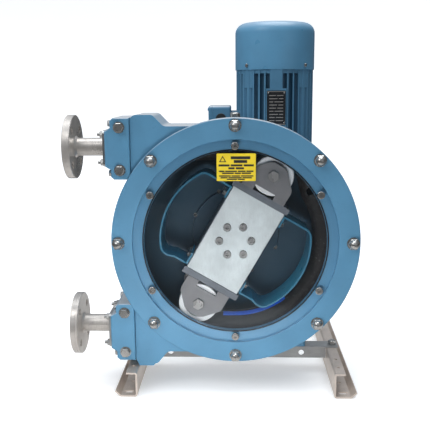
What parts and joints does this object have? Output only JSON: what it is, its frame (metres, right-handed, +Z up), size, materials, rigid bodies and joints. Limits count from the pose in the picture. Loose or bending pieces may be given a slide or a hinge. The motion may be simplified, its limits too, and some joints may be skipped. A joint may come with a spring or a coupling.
{
  "type": "peristaltic hose pump",
  "caption": "Hose pump with a round windowed drum, two-roller rotor, flanged side ports, worm gearbox, upright electric motor and a channel frame.",
  "frame": {"origin": "on the floor, midway between the four anchor slots of the frame legs", "axes": "+Z up; the window faces -Y; the two flanged ports point to -X"},
  "size_m": [0.683, 0.54, 0.876],
  "materials": {
    "blue_paint": "semi-gloss",
    "black_rubber": "matte",
    "clear_window": "clear polished",
    "bright_steel": "bright",
    "yellow_label": "printed film",
    "hose_rubber": "matte",
    "stainless": "turned",
    "zinc_plate": "zinc plated",
    "frame_steel": "brushed",
    "bearing_steel": "ground",
    "motor_paint": "satin",
    "cowl_paint": "satin",
    "lamination_steel": "varnished",
    "black_plastic": "matte",
    "nameplate": "anodised black",
    "shaft_steel": "ground",
    "bronze": "machined",
    "rotor_iron": "machined",
    "rotor_plate": "machined",
    "bracket_steel": "zinc plated",
    "plate_steel": "milled",
    "white_nylon": "satin",
    "wing_paint": "satin"
  },
  "bodies": {
    "frame_and_housing": {"pump_housing": "blue_paint", "front_cover_ring": "blue_paint", "cover_gasket": "black_rubber", "inspection_window": "clear_window", "window_gasket": "black_rubber", "window_screws": "bright_steel", "cover_studs": "bright_steel", "cover_nuts": "bright_steel", "caution_label": "yellow_label", "pump_hose": "hose_rubber", "upper_port_insert": "stainless", "lower_port_insert": "stainless", "upper_port_flange": "stainless", "lower_port_flange": "stainless", "upper_port_clamp": "blue_paint", "lower_port_clamp": "blue_paint", "port_clamp_bolts": "bright_steel", "upper_retaining_plate": "zinc_plate", "lower_retaining_plate": "zinc_plate", "breather_plug": "bright_steel", "drain_plug": "bright_steel", "shaft_seal": "black_rubber", "left_leg": "frame_steel", "right_leg": "frame_steel", "front_cross_beam": "frame_steel", "rear_cross_beam": "frame_steel", "frame_bolts": "bright_steel", "gearbox_housing": "blue_paint", "gearbox_rear_cover": "blue_paint", "drive_bolts": "bright_steel", "output_bearings": "bearing_steel", "input_bearings": "bearing_steel", "motor_end_shield": "motor_paint", "stator_frame": "motor_paint", "stator_core": "lamination_steel", "motor_rear_shield": "motor_paint", "fan_cowl": "cowl_paint", "cowl_screws": "bright_steel", "terminal_box": "motor_paint", "terminal_box_lid": "motor_paint", "terminal_box_plug": "black_plastic", "motor_nameplate": "nameplate"},
    "rotor": {"drive_shaft": "shaft_steel", "worm_wheel": "bronze", "rotor_body": "rotor_iron", "rotor_front_plate": "rotor_plate", "rotor_screws": "bright_steel", "pressure_plates": "plate_steel", "roller_bracket_1": "bracket_steel", "roller_bracket_2": "bracket_steel", "roller_pins": "shaft_steel", "wing_left": "wing_paint", "wing_right": "wing_paint", "wing_bolts": "bright_steel"},
    "roller_1": {"roller_1": "white_nylon"},
    "roller_2": {"roller_2": "white_nylon"},
    "motor_rotor": {"motor_shaft": "shaft_steel", "motor_rotor_core": "lamination_steel", "cooling_fan": "black_plastic", "worm_shaft": "shaft_steel"}
  },
  "joints": [
    {"name": "rotor_spin", "type": "hinge", "parent": "frame_and_housing", "child": "rotor", "pos_m": [0, -0.161, 0.364], "axis": [0, 1, 0], "continuous": true, "deforming": ["pump_hose"]},
    {"name": "roller_1_spin", "type": "hinge", "parent": "rotor", "child": "roller_1", "pos_m": [0.088, -0.161, 0.51642], "axis": [0, 1, 0], "continuous": true},
    {"name": "roller_2_spin", "type": "hinge", "parent": "rotor", "child": "roller_2", "pos_m": [-0.088, -0.161, 0.21158], "axis": [0, 1, 0], "continuous": true},
    {"name": "motor_spin", "type": "hinge", "parent": "frame_and_housing", "child": "motor_rotor", "pos_m": [0.1, 0.029, 0.364], "axis": [0, 0, 1], "continuous": true}
  ],
  "couplings": [
    {"joint": "roller_1_spin", "follows": "rotor_spin", "ratio": -4.7131},
    {"joint": "roller_2_spin", "follows": "rotor_spin", "ratio": -4.7131},
    {"joint": "motor_spin", "follows": "rotor_spin", "ratio": 30}
  ]
}
